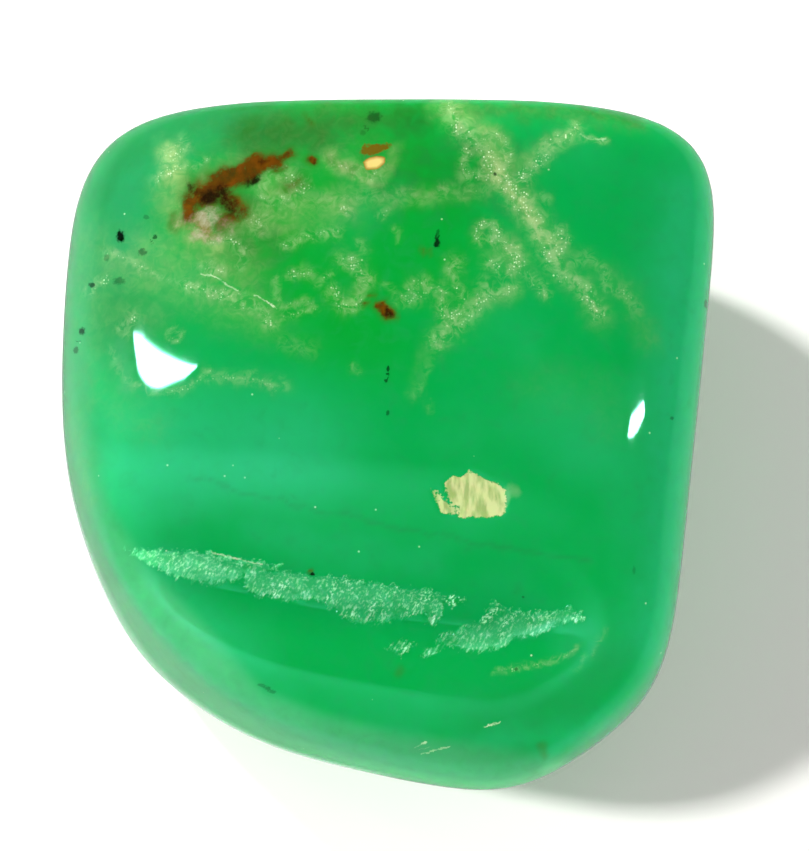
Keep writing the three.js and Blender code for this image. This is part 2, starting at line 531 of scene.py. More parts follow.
# %% Specks as dots
SPECKS = [
    # across, down, half width and half height in pixels, darkness
    (120.5, 236.5, 4.5, 6.5, 1.0), (155, 237, 2.6, 2.6, 0.7), (142, 252, 5, 4, 0.55),
    (146, 217, 3, 2.4, 0.35), (107, 258, 3, 4, 0.35), (92, 285, 3.4, 2.6, 0.8),
    (119, 281, 6, 4, 0.45), (82, 331, 3.6, 4.4, 0.85), (76, 350, 3, 4, 0.6),
    (437, 243, 3.2, 5, 0.95), (438, 232, 1.8, 3.6, 0.5), (388, 369, 1.8, 3.4, 0.8),
    (386, 381, 2.2, 2, 0.7), (388, 413, 2, 3.2, 0.6), (706, 304, 1.8, 5, 0.6),
    (672, 418, 2, 2, 0.5), (374, 117, 8, 6, 0.5), (363, 133, 3, 3, 0.25),
    (495, 174, 1.8, 1.8, 0.8), (516, 669, 2.2, 2, 0.5), (523, 597, 1.6, 1.6, 0.5),
    (634, 570, 1.8, 5, 0.3), (312.5, 574, 3, 2.6, 0.95),
    (261, 685, 4, 1.6, 0.4), (267, 688, 4, 1.8, 0.45), (273, 692, 4, 1.8, 0.4),
]


def nearest_of(offsets):
    """The way and distance to the nearest of some marks, and that mark's number, or -1."""
    nearest_way = np.full((len(skin), 3), FAR_OFF)
    nearest_gap = np.full(len(skin), FAR_OFF)
    nearest = np.full(len(skin), -1)
    for k, (way, gap) in enumerate(offsets):
        nearer = (gap < nearest_gap) & (facing > 0)
        nearest_way[nearer, :2] = way[nearer]
        nearest_way[nearer, 2] = 0
        nearest_gap[nearer] = gap[nearer]
        nearest[nearer] = k
    return nearest_way, nearest_gap, nearest


offsets = []
for x, y, half_width, half_height, _ in SPECKS:
    way = (spots - (x, y)) / (half_width, half_height)
    offsets.append((way, np.hypot(way[:, 0], way[:, 1])))
speck_way, speck_gap, nearest = nearest_of(offsets)
speck_dark = np.array([darkness for *_, darkness in SPECKS] + [0.0])[nearest]
print("specks:", len(SPECKS))

# %% [markdown]
# ## Bright cracks
#
# A few hair cracks catch the light, and their thin white lines are painted highlights. Like
# the specks they are finer than the net, so the mesh keeps the way to the nearest crack and the
# material draws the line.

# %% Strokes of the cracks
CRACKS = [
    [(201, 274), (214, 276), (221, 280), (228, 286), (238, 290)],
    [(255, 295), (266, 301), (276, 308)],
    [(262, 565), (245, 561), (210, 552)],
    [(421, 754), (436, 750), (450, 747)],
    [(415, 747), (427, 742)],
    [(485, 727), (500, 722)],
    [(606, 139), (588, 139), (580, 134)],
]
crack_way, crack_gap, _ = nearest_of([stroke_offset(path) for path in CRACKS])
print("cracks:", len(CRACKS))

# %% [markdown]
# ## The rough hollow
#
# Polishing grit reached all but the bed of the hollow. There the stone is still broken rock:
# frosted, with rows of small steps that catch the light. It could be a bump map, but its
# edge shows in the outline of the reflections, so its coarse grain is real relief and only
# the finest grain is left to the material.

# %% Outlines of the rough bed
ROUGH_LEFT = [
    (118, 547), (145, 548), (175, 550), (205, 551), (240, 556), (262, 561), (287, 566),
    (278, 572), (240, 580), (220, 586), (200, 585), (175, 579), (155, 571), (140, 561),
]
ROUGH_MIDDLE = [
    (256, 598), (246, 592), (240, 574), (262, 568), (290, 569), (325, 573), (350, 576),
    (372, 582), (397, 585), (420, 588), (440, 591), (462, 595), (472, 600), (458, 606),
    (446, 608), (438, 627), (428, 625), (422, 616), (398, 621), (372, 627), (345, 624),
    (328, 607), (312, 600), (290, 603),
]
ROUGH_RIGHT = [
    (424, 637), (455, 629), (478, 619), (494, 598), (502, 602), (514, 609), (535, 611),
    (552, 609), (570, 605), (589, 617), (583, 622), (568, 624), (550, 631), (530, 637),
    (505, 646), (485, 652), (460, 652), (447, 650), (427, 658), (419, 652), (440, 641),
]
ROUGH_END = [(384, 648), (398, 638), (422, 639), (414, 651), (402, 658), (396, 652)]
rough = outline_depth(ROUGH_LEFT)
for outline in (ROUGH_MIDDLE, ROUGH_RIGHT, ROUGH_END):
    rough = np.maximum(rough, outline_depth(outline))
print("points in the rough bed:", int((rough > 0).sum()))

# %% [markdown]
# ## Low relief
#
# Some forms are too low for the solid: the waves that the barrel leaves in its polish, the
# bed, which lies a little deeper and has steps and broken grains, and the slight dent of the
# cream fleck. They could be a displacement in the material, but only real points show in a
# mesh file. So each point of the net moves along the skin's outward direction.

# %% Lengths and heights of the relief
# All are in mm.
WAVE_LENGTH, WAVE_HEIGHT = 5.5, 0.025
STEP_LENGTH, STEP_HEIGHT = 0.42, 0.07
GRAIN_LENGTH, GRAIN_HEIGHT = 0.16, 0.03
BED_DEPTH, BED_EDGE = 0.07, (0.02, 0.4)    # how deep it lies, and where its slope starts and ends
FLECK_DENT, FLECK_EDGE = 0.04, 0.15
FOOT_HEIGHTS = (0.3, 2.5)                  # above the table: no relief below, all of it above
STEP_TURN = math.radians(-35)
STEP_STRETCH, FINER, FINER_SHARE = 3, 2.1, 0.5


def ramp(values, low, high):
    """A soft step: 0 up to low, 1 from high on."""
    t = np.clip((values - low) / (high - low), 0, 1)
    return t * t * (3 - 2 * t)


in_bed = ramp(rough, *BED_EDGE)
print("points with steps:", int((in_bed > 0).sum()))

# %% Relief of the skin
spots_mm = spots * MM_PER_PIXEL
slant = np.array([math.cos(STEP_TURN), math.sin(STEP_TURN)])
across_steps = spots_mm @ slant / STEP_LENGTH
along_steps = spots_mm @ np.array([slant[1], -slant[0]]) / STEP_LENGTH / STEP_STRETCH
relief = np.zeros(len(skin))
for k, point in enumerate(skin / MM):
    place = Vector(point)
    relief[k] = WAVE_HEIGHT * noise.noise(place / WAVE_LENGTH)
    if in_bed[k] > 0:
        slanted = Vector((across_steps[k], along_steps[k], 0))
        steps = noise.noise(slanted) + FINER_SHARE * noise.noise(slanted * FINER)
        grain = noise.noise(place / GRAIN_LENGTH)
        relief[k] += in_bed[k] * (STEP_HEIGHT * steps + GRAIN_HEIGHT * grain - BED_DEPTH)
relief -= FLECK_DENT * ramp(cream, 0.0, FLECK_EDGE)
relief *= ramp(skin[:, 2] / MM, *FOOT_HEIGHTS)
skin += ways_out * relief[:, None] * MM
print("relief from", round(float(relief.min()), 3), "to", round(float(relief.max()), 3), "mm")

# %% [markdown]
# ## Where the green changes
#
# The stone isn't one green. It is yellower round the rust and olive along the back. Besides
# these, a paler, bluer green at its sides, on its flanks and on its front is painted reflection
# and light, a darker green along its rim, in a crease and at the top left is painted shade, and
# the pale foot is painted light from the paper. One big noise would put such tints anywhere, so
# each is a set of broad, soft strokes instead.

# %% Painted sheen and painted shade patches
# Painted reflection: a paler, bluer green at the sides and on the front.
SHEEN_PATCH = [
    ([(90, 360), (90, 430), (105, 545)], 50, 0.6), ([(105, 430), (300, 440)], 62, 0.75),
    ([(130, 590), (210, 690)], 50, 0.9), ([(210, 690), (300, 735), (400, 756)], 34, 0.8),
    ([(400, 756), (620, 728)], 18, 0.35), ([(580, 440), (640, 480), (640, 540)], 45, 0.35),
    ([(655, 640), (672, 500), (690, 300), (690, 200)], 34, 0.8),
    ([(100, 260), (125, 185), (185, 118), (225, 110)], 36, 0.7),
    ([(250, 530), (430, 562)], 18, 0.35),
]
# Painted shade: a darker green along the rim, in a crease, at the top left and low at the right.
SHADE_PATCH = [
    ([(110, 150), (95, 250), (110, 320)], 60, 1.1),
    ([(75, 320), (80, 480), (112, 580)], 25, 0.9),
    ([(96, 200), (115, 160), (145, 130), (190, 112), (260, 108)], 36, 1.3),
    ([(480, 722), (570, 705), (610, 660)], 30, 0.35),
    ([(187, 477), (300, 505), (420, 533), (500, 548), (590, 560)], 2.2, 0.5),
    ([(125, 600), (190, 680), (280, 735)], 22, 0.6),
    ([(280, 735), (400, 750), (530, 762)], 20, 0.6),
]
painted_sheen, painted_shade = thickness_of(SHEEN_PATCH), thickness_of(SHADE_PATCH)
print("points in cool and deep green:", int((painted_sheen > MARKED).sum()), int((painted_shade > MARKED).sum()))

# %% Warm and olive patches
WARM_PATCH = [
    ([(300, 215), (345, 300)], 120, 1.0), ([(200, 200), (260, 240)], 70, 0.8),
    ([(390, 150), (440, 200), (420, 270)], 90, 0.9),
]
OLIVE_PATCH = [
    ([(250, 134), (325, 128)], 28, 0.75), ([(320, 116), (420, 116)], 26, 0.65),
    ([(420, 107), (600, 113), (635, 118)], 12, 0.5), ([(210, 200), (250, 240)], 45, 0.5),
    ([(400, 165), (480, 170)], 60, 0.34),
]
warm, olive = thickness_of(WARM_PATCH), thickness_of(OLIVE_PATCH)
print("points in warm and olive green:", int((warm > MARKED).sum()), int((olive > MARKED).sum()))

# %% Painted light at the foot
# Painted light: the foot and the left side are paler, where light from the paper falls in.
FOOT_LIGHT_OUTLINE = [
    (142, 570), (182, 612), (220, 652), (260, 697), (320, 722), (400, 742), (560, 765),
    (540, 800), (200, 760), (50, 600), (50, 360), (82, 360), (92, 480), (108, 520),
]
SIDE_LIGHT = [([(90, 235), (84, 300), (74, 400)], 16, 0.6), ([(120, 346), (125, 386)], 9, 0.5)]
FOOT_EDGE = (-0.6, 0.35)                   # mm inside the outline
FOOT_TURN = (-0.4, 0.0)                    # it wraps a little way round to the hidden side
FOOT_DOWN = (340, 520)                     # pixels down the picture
painted_foot_light = ramp(outline_depth(FOOT_LIGHT_OUTLINE, hidden_too=True), *FOOT_EDGE)
painted_foot_light *= ramp(turned, *FOOT_TURN) * ramp(spots[:, 1], *FOOT_DOWN)
painted_foot_light = np.maximum(painted_foot_light, thickness_of(SIDE_LIGHT))
print("points in the pale foot:", int((painted_foot_light > MARKED).sum()))

# %% [markdown]
# ## Pale rows and painted glitter in the bed
#
# The broken rock is paler in some rows than in others, and a few of its faces catch a lamp.
# That glitter is a painted highlight. Noise alone would scatter those, and the brightest are
# easy to recognise in the photograph. So the pale rows and some twenty bright faces are
# strokes, and noise fills in between them.

# %% Pale rock and painted glitter
PALE_ROCK = [
    ([(118, 548), (150, 557), (210, 573)], 13, 1.0), ([(190, 578), (235, 572)], 9, 0.6),
    ([(205, 551), (286, 566)], 3, 0.8), ([(245, 578), (300, 590)], 14, 0.5),
    ([(300, 590), (390, 598)], 15, 0.45), ([(390, 598), (450, 610)], 12, 0.3),
    ([(430, 653), (500, 643), (550, 628), (583, 619)], 7, 0.6),
    ([(470, 640), (560, 618)], 14, 0.35),
]
PAINTED_GLITTER = [
    ([(268, 597), (283, 585)], 6, 1.2), ([(298, 582), (301, 574)], 3, 0.8),
    ([(299, 608), (304, 597)], 4, 0.7), ([(329, 604), (336, 575)], 4, 0.9),
    ([(345, 578), (350, 592)], 4, 0.9), ([(356, 583), (366, 581)], 3, 0.7),
    ([(343, 621), (352, 611)], 4, 0.8), ([(368, 624), (384, 598)], 4, 0.8),
    ([(375, 586), (382, 583)], 3, 0.8), ([(389, 593), (397, 586)], 5, 1.0),
    ([(400, 622), (406, 610)], 4, 0.9), ([(411, 613), (428, 594)], 7, 0.8),
    ([(434, 624), (438, 608), (446, 600)], 3, 0.9), ([(452, 602), (462, 595)], 6, 1.3),
    ([(484, 622), (500, 600)], 4, 0.9), ([(501, 632), (516, 609)], 4, 0.9),
    ([(432, 634), (456, 629), (480, 620)], 3, 0.6), ([(400, 656), (416, 642)], 5, 0.9),
    ([(430, 655), (450, 647)], 3, 0.8), ([(530, 622), (548, 618), (550, 628)], 8, 0.6),
    ([(574, 619), (584, 617)], 5, 1.3), ([(160, 561), (200, 572)], 9, 0.8),
    ([(209, 573), (212, 573)], 4, 1.2),
]
pale, painted_glitter = thickness_of(PALE_ROCK), thickness_of(PAINTED_GLITTER)
print("points with glitter:", int((painted_glitter > MARKED).sum()))

# %% Hidden skin and flanks
unseen = 1 - facing
flank = 1 - np.clip(outward(skin)[:, 2], 0, 1)
print("share of points out of sight:", round(float((unseen == 1).mean()), 3))

# %% [markdown]
# ## The stone as one mesh
#
# The net becomes a mesh with smooth shading, and each guide becomes an attribute, one value
# for each point. Attributes are a good home for markings that are placed one by one, because
# they stay with the surface in every view.

# %% Build the stone
mesh = bpy.data.meshes.new("tumbled_stone")
mesh.from_pydata([tuple(p) for p in skin], [], faces)
mesh.update()
if mesh.polygons[0].normal.z < 0:
    mesh.flip_normals()
mesh.shade_smooth()
stone = bpy.data.objects.new("tumbled_stone", mesh)
bpy.context.scene.collection.objects.link(stone)
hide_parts("stone")
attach(stone, "root")
triangles = sum(len(p.vertices) - 2 for p in mesh.polygons)
print("stone:", len(mesh.vertices), "points,", triangles, "triangles")

# %% Keep the guides on the mesh
FARTHEST = 50             # more than any pattern that reads a guide asks for
guides = {
    "frost": frost, "haze": haze, "rust": rust, "core": core, "shard": shard, "orange": orange,
    "cream": cream, "cream_lobe": cream_lobe, "gold": gold, "rough": rough, "pale": pale,
    "painted_glitter": painted_glitter, "warm": warm, "painted_sheen": painted_sheen, "painted_shade": painted_shade, "painted_foot_light": painted_foot_light,
    "olive": olive, "flank": flank, "unseen": unseen, "speck_gap": speck_gap,
    "speck_dark": speck_dark, "speck_way": speck_way, "crack_gap": crack_gap,
    "crack_way": crack_way,
}
for name, values in guides.items():
    kind, field = ("FLOAT", "value") if values.ndim == 1 else ("FLOAT_VECTOR", "vector")
    numbers = np.clip(values, -FARTHEST, FARTHEST).astype(np.float32).ravel()
    mesh.attributes.new(name, kind, "POINT").data.foreach_set(field, numbers)
print("guides on the mesh:", len(guides))

# %% [markdown]
# ## Chrysoprase
#
# The stone is chrysoprase, a chalcedony that nickel colours apple green. It is translucent:
# light goes a few millimetres in and comes back green, which softens its shading. Tumbling
# with finer and finer grit leaves a glossy polish. It could be a plain green with a glossy
# coat, but its edges would look dead. So the light is scattered under the skin, and every
# marking only changes the colour that the stone scatters.

# %% Colours and one helper for nodes
def linear(colour):
    """An sRGB hex colour as linear red, green, blue and alpha."""
    shares = [int(colour[k : k + 2], 16) / 255 for k in (1, 3, 5)]
    return [c / 12.92 if c <= 0.04045 else ((c + 0.055) / 1.055) ** 2.4 for c in shares] + [1]


def add(tree, kind, inputs=None, **settings):
    """Adds a node. An input is a value, or the node or socket that it is linked to."""
    node = tree.nodes.new(kind)
    for name, value in settings.items():
        setattr(node, name, value)
    for key, value in (inputs or {}).items():
        if isinstance(value, bpy.types.Node):
            tree.links.new(value.outputs[0], node.inputs[key])
        elif isinstance(value, bpy.types.NodeSocket):
            tree.links.new(value, node.inputs[key])
        else:
            node.inputs[key].default_value = value
    return node


print("middle grey as linear light:", round(linear("#808080")[0], 3))

# %% The material, its place in mm and its guides
# Some inputs go by number. A RANGE takes a value, 0, and turns the span from 1 to 2 into the
# span from 3 to 4. A MIX takes a share, 0, and the colours for none and all of it, 1 and 2.
# MULTIPLY_ADD gives 0 times 1, plus 2.
MATH, VECTOR, RANGE, MIX = (
    "ShaderNodeMath", "ShaderNodeVectorMath", "ShaderNodeMapRange", "ShaderNodeMixRGB",
)
NOISE, CELLS, KEPT = "ShaderNodeTexNoise", "ShaderNodeTexVoronoi", "ShaderNodeAttribute"
SOFT = {"interpolation_type": "SMOOTHSTEP"}
chrysoprase = bpy.data.materials.new("polished_chrysoprase")
chrysoprase.use_nodes = True
look = chrysoprase.node_tree
look.nodes.clear()
where = add(look, "ShaderNodeTexCoord")
place = add(look, VECTOR, {0: where.outputs["Object"], "Scale": 1 / MM}, operation="SCALE")
kept = {}
for name, values in guides.items():
    output = "Fac" if values.ndim == 1 else "Vector"
    kept[name] = add(look, KEPT, attribute_name=name).outputs[output]
print("guides that the material reads:", len(kept))

# %% [markdown]
# ## Grain at three sizes
#
# The stone grew in clouds about 5 mm wide, with mottles of half a millimetre in them. Its
# fibres are far finer than a pixel, so the finest grain is drawn as coarse as it needs to
# show. A picture wrapped round the stone would have seams. Noise in millimetres has none, and
# its scale is simply how many grains fit into one millimetre.

# %% Clouds, mottles and grains
CLOUD_SIZE, MOTTLE_SIZE = 4.545, 0.625      # mm
GRAIN_SIZE = 0.1538                         # mm, for fibres of less than 0.01 mm
wide = add(look, NOISE, {"Vector": place, "Scale": 1 / CLOUD_SIZE, "Detail": 3})
middle = add(look, NOISE, {
    "Vector": place, "Scale": 1 / MOTTLE_SIZE, "Detail": 4, "Distortion": 0.6,
})
fine = add(look, NOISE, {
    "Vector": place, "Scale": 1 / GRAIN_SIZE, "Detail": 3, "Roughness": 0.65,
})
print("pixels across one grain:", round(GRAIN_SIZE / MM_PER_PIXEL, 1))

# %% [markdown]
# ## Body green
#
# Nickel is spread unevenly, so the green runs from leaf green to sea green, with milky clouds
# in it. One colour and some noise would do for any pebble, but here each tint has its place.
# So the tints go over one another, each with the share that its guide and the noise give it.

# %% Tints that the noise places
# The deep green is a random tone on the hidden skin, and painted shade where the shade patches put
# it.
LEAF, SEA, CLOUD, DEEP_GREEN_AND_SHADE = "#058F29", "#069342", "#1F9B5C", "#22703E"
warmth = add(look, MATH, {0: kept["warm"], 1: wide}, operation="MULTIPLY")
warmth = add(look, RANGE, {0: warmth, 1: 0.1, 2: 0.5}, **SOFT)
body = add(look, MIX, {0: warmth, 1: linear(SEA), 2: linear(LEAF)})
cloudy = add(look, RANGE, {0: wide, 1: 0.48, 2: 0.8, 4: 0.35}, **SOFT)
mottled = add(look, RANGE, {0: middle, 1: 0.45, 2: 0.75, 4: 0.2}, **SOFT)
depths = add(look, RANGE, {0: wide, 1: 0.6, 2: 0.35, 4: 0.6}, **SOFT)
depths = add(look, MATH, {0: depths, 1: kept["unseen"]}, operation="MULTIPLY")
for share, colour in ((cloudy, CLOUD), (mottled, CLOUD), (depths, DEEP_GREEN_AND_SHADE)):
    body = add(look, MIX, {0: share, 1: body, 2: linear(colour)})
print("nodes so far:", len(look.nodes))

# %% Tints that the guides place
FLANK_LIGHT, COOL_SHEEN, OLIVE, FOOT_LIGHT, RIM_LIGHT = "#129A58", "#22A068", "#18641C", "#50A474", "#5AC07E"
# Painted light: the skin turns paler and bluer the steeper it is.
painted_flank_light = add(look, RANGE, {0: kept["flank"], 1: 0.02, 2: 0.6}, **SOFT)
on_seen = add(look, RANGE, {0: kept["unseen"], 3: 1.0, 4: 0.35})
painted_flank_light = add(look, MATH, {0: painted_flank_light, 1: on_seen}, operation="MULTIPLY")
painted_sheen_part = add(look, MATH, {0: wide, 1: 0.6, 2: kept["painted_sheen"]}, operation="MULTIPLY_ADD")
painted_sheen_part = add(look, RANGE, {0: painted_sheen_part, 1: 0.3, 2: 1.3})
# Painted light: the foot turns paler still at its rim.
at_rim_light = add(look, RANGE, {0: kept["flank"], 1: 0.75, 2: 0.97}, **SOFT)
foot_light_tone = add(look, MIX, {0: at_rim_light, 1: linear(FOOT_LIGHT), 2: linear(RIM_LIGHT)})
foot_light_part = add(look, MATH, {0: kept["painted_foot_light"], 1: 0.8}, operation="MULTIPLY")
painted_shade_part = add(look, MATH, {0: kept["painted_shade"], 1: 0.6}, operation="MULTIPLY")
olive_part = add(look, MATH, {0: middle, 1: 0.8, 2: kept["olive"]}, operation="MULTIPLY_ADD")
olive_part = add(look, RANGE, {0: olive_part, 1: 0.35, 2: 1.4}, **SOFT)
for share, tone in (
    (painted_flank_light, linear(FLANK_LIGHT)), (painted_sheen_part, linear(COOL_SHEEN)), (foot_light_part, foot_light_tone),
    (painted_shade_part, linear(DEEP_GREEN_AND_SHADE)), (olive_part, linear(OLIVE)),
):
    body = add(look, MIX, {0: share, 1: body, 2: tone})
print("nodes so far:", len(look.nodes))

# %% [markdown]
# ## Frost
#
# Each vein of frost is a faint haze with a lace of milky threads in it, and glassy grains on
# the threads, whose glints are painted highlights in the colour. Modelled threads would lie on
# the polish, and the real ones lie under it, so the frost is colour alone. A thread is where a
# curling noise crosses its middle value. The real threads are finer than a pixel, so these are
# drawn as coarse as they need to show.

# %% Faint veins on the hidden skin
VEIN_SPACING = 7.692                        # mm
vein = add(look, NOISE, {
    "Vector": place, "Scale": 1 / VEIN_SPACING, "Detail": 4, "Distortion": 0.4,
})
vein = add(look, MATH, {0: vein, 1: 0.5}, operation="SUBTRACT")
vein = add(look, MATH, {0: vein}, operation="ABSOLUTE")
vein = add(look, RANGE, {0: vein, 1: 0.035, 2: 0.0, 4: 0.6}, **SOFT)
thick = add(look, RANGE, {0: wide, 1: 0.38, 2: 0.62}, **SOFT)
thick = add(look, MATH, {0: thick, 1: kept["unseen"]}, operation="MULTIPLY")
vein = add(look, MATH, {0: vein, 1: thick}, operation="MULTIPLY")
frost_part = add(look, MATH, {0: kept["frost"], 1: vein}, operation="MAXIMUM")
print("nodes so far:", len(look.nodes))

# %% Haze
HAZE = "#8CA866"
FIBRE_SIZE = 0.4167                         # mm
haze_part = add(look, MATH, {0: vein, 1: 0.4}, operation="MULTIPLY")
haze_part = add(look, MATH, {0: kept["haze"], 1: haze_part}, operation="MAXIMUM")
fibres = add(look, NOISE, {
    "Vector": place, "Scale": 1 / FIBRE_SIZE, "Detail": 4, "Roughness": 0.6, "Distortion": 1.0,
})
fibres = add(look, RANGE, {0: fibres, 1: 0.38, 2: 0.68}, **SOFT)
patchy = add(look, RANGE, {0: middle, 1: 0.3, 2: 0.7, 3: 0.35, 4: 0.95})
haze_part = add(look, MATH, {0: haze_part, 1: patchy}, operation="MULTIPLY")
patchy = add(look, RANGE, {0: fibres, 3: 0.65, 4: 1.2})
haze_part = add(look, MATH, {0: haze_part, 1: patchy}, operation="MULTIPLY")
body = add(look, MIX, {0: haze_part, 1: body, 2: linear(HAZE)})
print("nodes so far:", len(look.nodes))

# %% Lace of threads
THREAD = "#B0BD92"
CURLS = [(0.7692, 0.03, 0.25, 1.0), (0.3125, 0.06, 0.5, fibres)]
clumps = add(look, RANGE, {0: middle, 1: 0.42, 2: 0.6}, **SOFT)
lace = add(look, RANGE, {0: fine, 1: 0.5, 2: 0.75, 4: 0.45}, **SOFT)
lace = add(look, MATH, {0: lace, 1: clumps}, operation="MULTIPLY")
veil = add(look, MATH, {0: fibres, 1: 0.4}, operation="MULTIPLY")
lace = add(look, MATH, {0: lace, 1: veil}, operation="MAXIMUM")
for spacing, width, strength, held_by in CURLS:      # spacing in mm
    curl = add(look, NOISE, {
        "Vector": place, "Scale": 1 / spacing, "Detail": 2, "Distortion": 0.4,
    })
    curl = add(look, MATH, {0: curl, 1: 0.5}, operation="SUBTRACT")
    curl = add(look, MATH, {0: curl}, operation="ABSOLUTE")
    curl = add(look, RANGE, {0: curl, 1: width, 2: width / 5, 4: strength})
    curl = add(look, MATH, {0: curl, 1: held_by}, operation="MULTIPLY")
    lace = add(look, MATH, {0: lace, 1: curl}, operation="MAXIMUM")
lace = add(look, MATH, {0: lace, 1: frost_part}, operation="MULTIPLY")
body = add(look, MIX, {0: lace, 1: body, 2: linear(THREAD)})
print("nodes so far:", len(look.nodes))

# %% Painted glints and dust
# The glints are painted highlights, bright dots in the colour. The same colour marks the dust.
PAINTED_GLINT_AND_DUST = "#E0F2D2"
GLINT_SPACING, DUST_SPACING = 0.0909, 1.111            # mm
grain_cells = add(look, CELLS, {"Vector": place, "Scale": 1 / GLINT_SPACING})
dot = add(look, RANGE, {0: grain_cells, 1: 0.45, 2: 0.2}, **SOFT)
picked = add(look, "ShaderNodeSeparateColor", {0: grain_cells.outputs["Color"]})
picked = add(look, RANGE, {0: picked, 1: 0.3, 2: 1.0})
painted_glints = add(look, MATH, {0: dot, 1: picked}, operation="MULTIPLY")
painted_glint_share = add(look, RANGE, {0: frost_part, 1: 0.25, 2: 0.8, 4: 0.9}, **SOFT)
painted_glint_share = add(look, MATH, {0: painted_glint_share, 1: clumps}, operation="MULTIPLY")
painted_glint_share = add(look, MATH, {0: painted_glints, 1: painted_glint_share}, operation="MULTIPLY")
dust_cells = add(look, CELLS, {"Vector": place, "Scale": 1 / DUST_SPACING})
dust = add(look, RANGE, {0: dust_cells, 1: 0.042, 2: 0.015, 4: 0.5})
for share in (painted_glint_share, dust):
    body = add(look, MIX, {0: share, 1: body, 2: linear(PAINTED_GLINT_AND_DUST)})
print("nodes so far:", len(look.nodes))

# %% [markdown]
# ## Limonite and quartz
#
# Limonite is an earthy iron rust. Thin, it only stains the green. Thicker, it covers it in
# reddish brown, and its core is nearly black. The pale shard is quartz with clay on it. Each
# could have a smooth edge, but rust creeps between grains, so the grain makes each one ragged.

# %% Rust, core and shard
STAIN, RUST, BROWN, CORE = "#3A5C0C", "#663504", "#3A2806", "#100C06"
SHARD, CLAY, ORANGE = "#A09C84", "#75622C", "#6E4A02"
stain = add(look, RANGE, {0: kept["rust"], 1: 0.03, 2: 0.6, 4: 0.7})
body = add(look, MIX, {0: stain, 1: body, 2: linear(STAIN)})
tone = add(look, MATH, {0: fine, 1: 0.35, 2: middle}, operation="MULTIPLY_ADD")
tone = add(look, RANGE, {0: tone, 1: 0.52, 2: 0.82})
rust_tone = add(look, MIX, {0: tone, 1: linear(BROWN), 2: linear(RUST)})
shard_tone = add(look, MIX, {0: tone, 1: linear(CLAY), 2: linear(SHARD)})
grit = add(look, MATH, {0: fine, 1: 2.2, 2: middle}, operation="MULTIPLY_ADD")
for guide, low, high, most, tone in (
    ("rust", 0.5, 1.5, 0.95, rust_tone),
    ("core", 0.4, 1.7, 0.92, linear(CORE)),
    ("shard", 0.4, 1.7, 0.92, shard_tone),
):
    ragged = add(look, MATH, {0: kept[guide], 1: grit}, operation="MULTIPLY")
    ragged = add(look, RANGE, {0: ragged, 1: low, 2: high, 4: most}, **SOFT)
    body = add(look, MIX, {0: ragged, 1: body, 2: tone})
ragged = add(look, MATH, {0: fine, 1: 0.35, 2: kept["orange"]}, operation="MULTIPLY_ADD")
ragged = add(look, RANGE, {0: ragged, 1: 0.12, 2: 0.24, 4: 0.85}, **SOFT)
body = add(look, MIX, {0: ragged, 1: body, 2: linear(ORANGE)})
print("nodes so far:", len(look.nodes))

# %% [markdown]
# ## Host rock
#
# The cream fleck is weathered host rock. It is softer than the stone, so the barrel left it
# matt and slightly dented, and its grain shows as straw-coloured streaks. The small one is
# stained gold, darker round its edge. Each could be a piece of its own, but a tumbled fleck
# ends flush with the skin, so an outline in the material is truer.

# %% Cream and gold flecks
CREAM, STRAW, GOLD, GOLD_EDGE = "#BAC288", "#90A462", "#D0BC74", "#94701F"
STREAK_SIZE, SQUEEZE = 0.625, (3.0, 0.8, 1.0)          # mm, and how much narrower along X, Y, Z
streaks = add(look, VECTOR, {0: place, 1: SQUEEZE}, operation="MULTIPLY")
streaks = add(look, NOISE, {"Vector": streaks, "Scale": 1 / STREAK_SIZE, "Detail": 4})
tone = add(look, RANGE, {0: streaks, 1: 0.4, 2: 0.6})
cream_tone = add(look, MIX, {0: tone, 1: linear(STRAW), 2: linear(CREAM)})
ragged = add(look, MATH, {0: fine, 1: 0.3, 2: kept["cream"]}, operation="MULTIPLY_ADD")
cream_part = add(look, RANGE, {0: ragged, 1: 0.13, 2: 0.19}, **SOFT)
ragged = add(look, MATH, {0: middle, 1: 0.5, 2: kept["cream_lobe"]}, operation="MULTIPLY_ADD")
lobe = add(look, RANGE, {0: ragged, 1: 0.15, 2: 0.45, 4: 0.18}, **SOFT)
gold_edge = add(look, RANGE, {0: kept["gold"], 1: 0.0, 2: 0.12})
gold_tone = add(look, MIX, {0: gold_edge, 1: linear(GOLD_EDGE), 2: linear(GOLD)})
gold_part = add(look, RANGE, {0: kept["gold"], 1: -0.03, 2: 0.02}, **SOFT)
for share, tone in ((cream_part, cream_tone), (lobe, linear(THREAD)), (gold_part, gold_tone)):
    body = add(look, MIX, {0: share, 1: body, 2: tone})
print("nodes so far:", len(look.nodes))

# %% [markdown]
# ## Broken rock in the bed
#
# Freshly broken chalcedony is matt and paler than its polish, as ground glass is, because its
# many small faces scatter the light. They lie in slanted rows, and the ones that face the
# light glitter. Most faces are far finer than a pixel, so the crumbs are drawn as coarse as
# they need to show. Mirrored glitter would flicker from view to view, so the glitter is a
# painted highlight in the colour here.

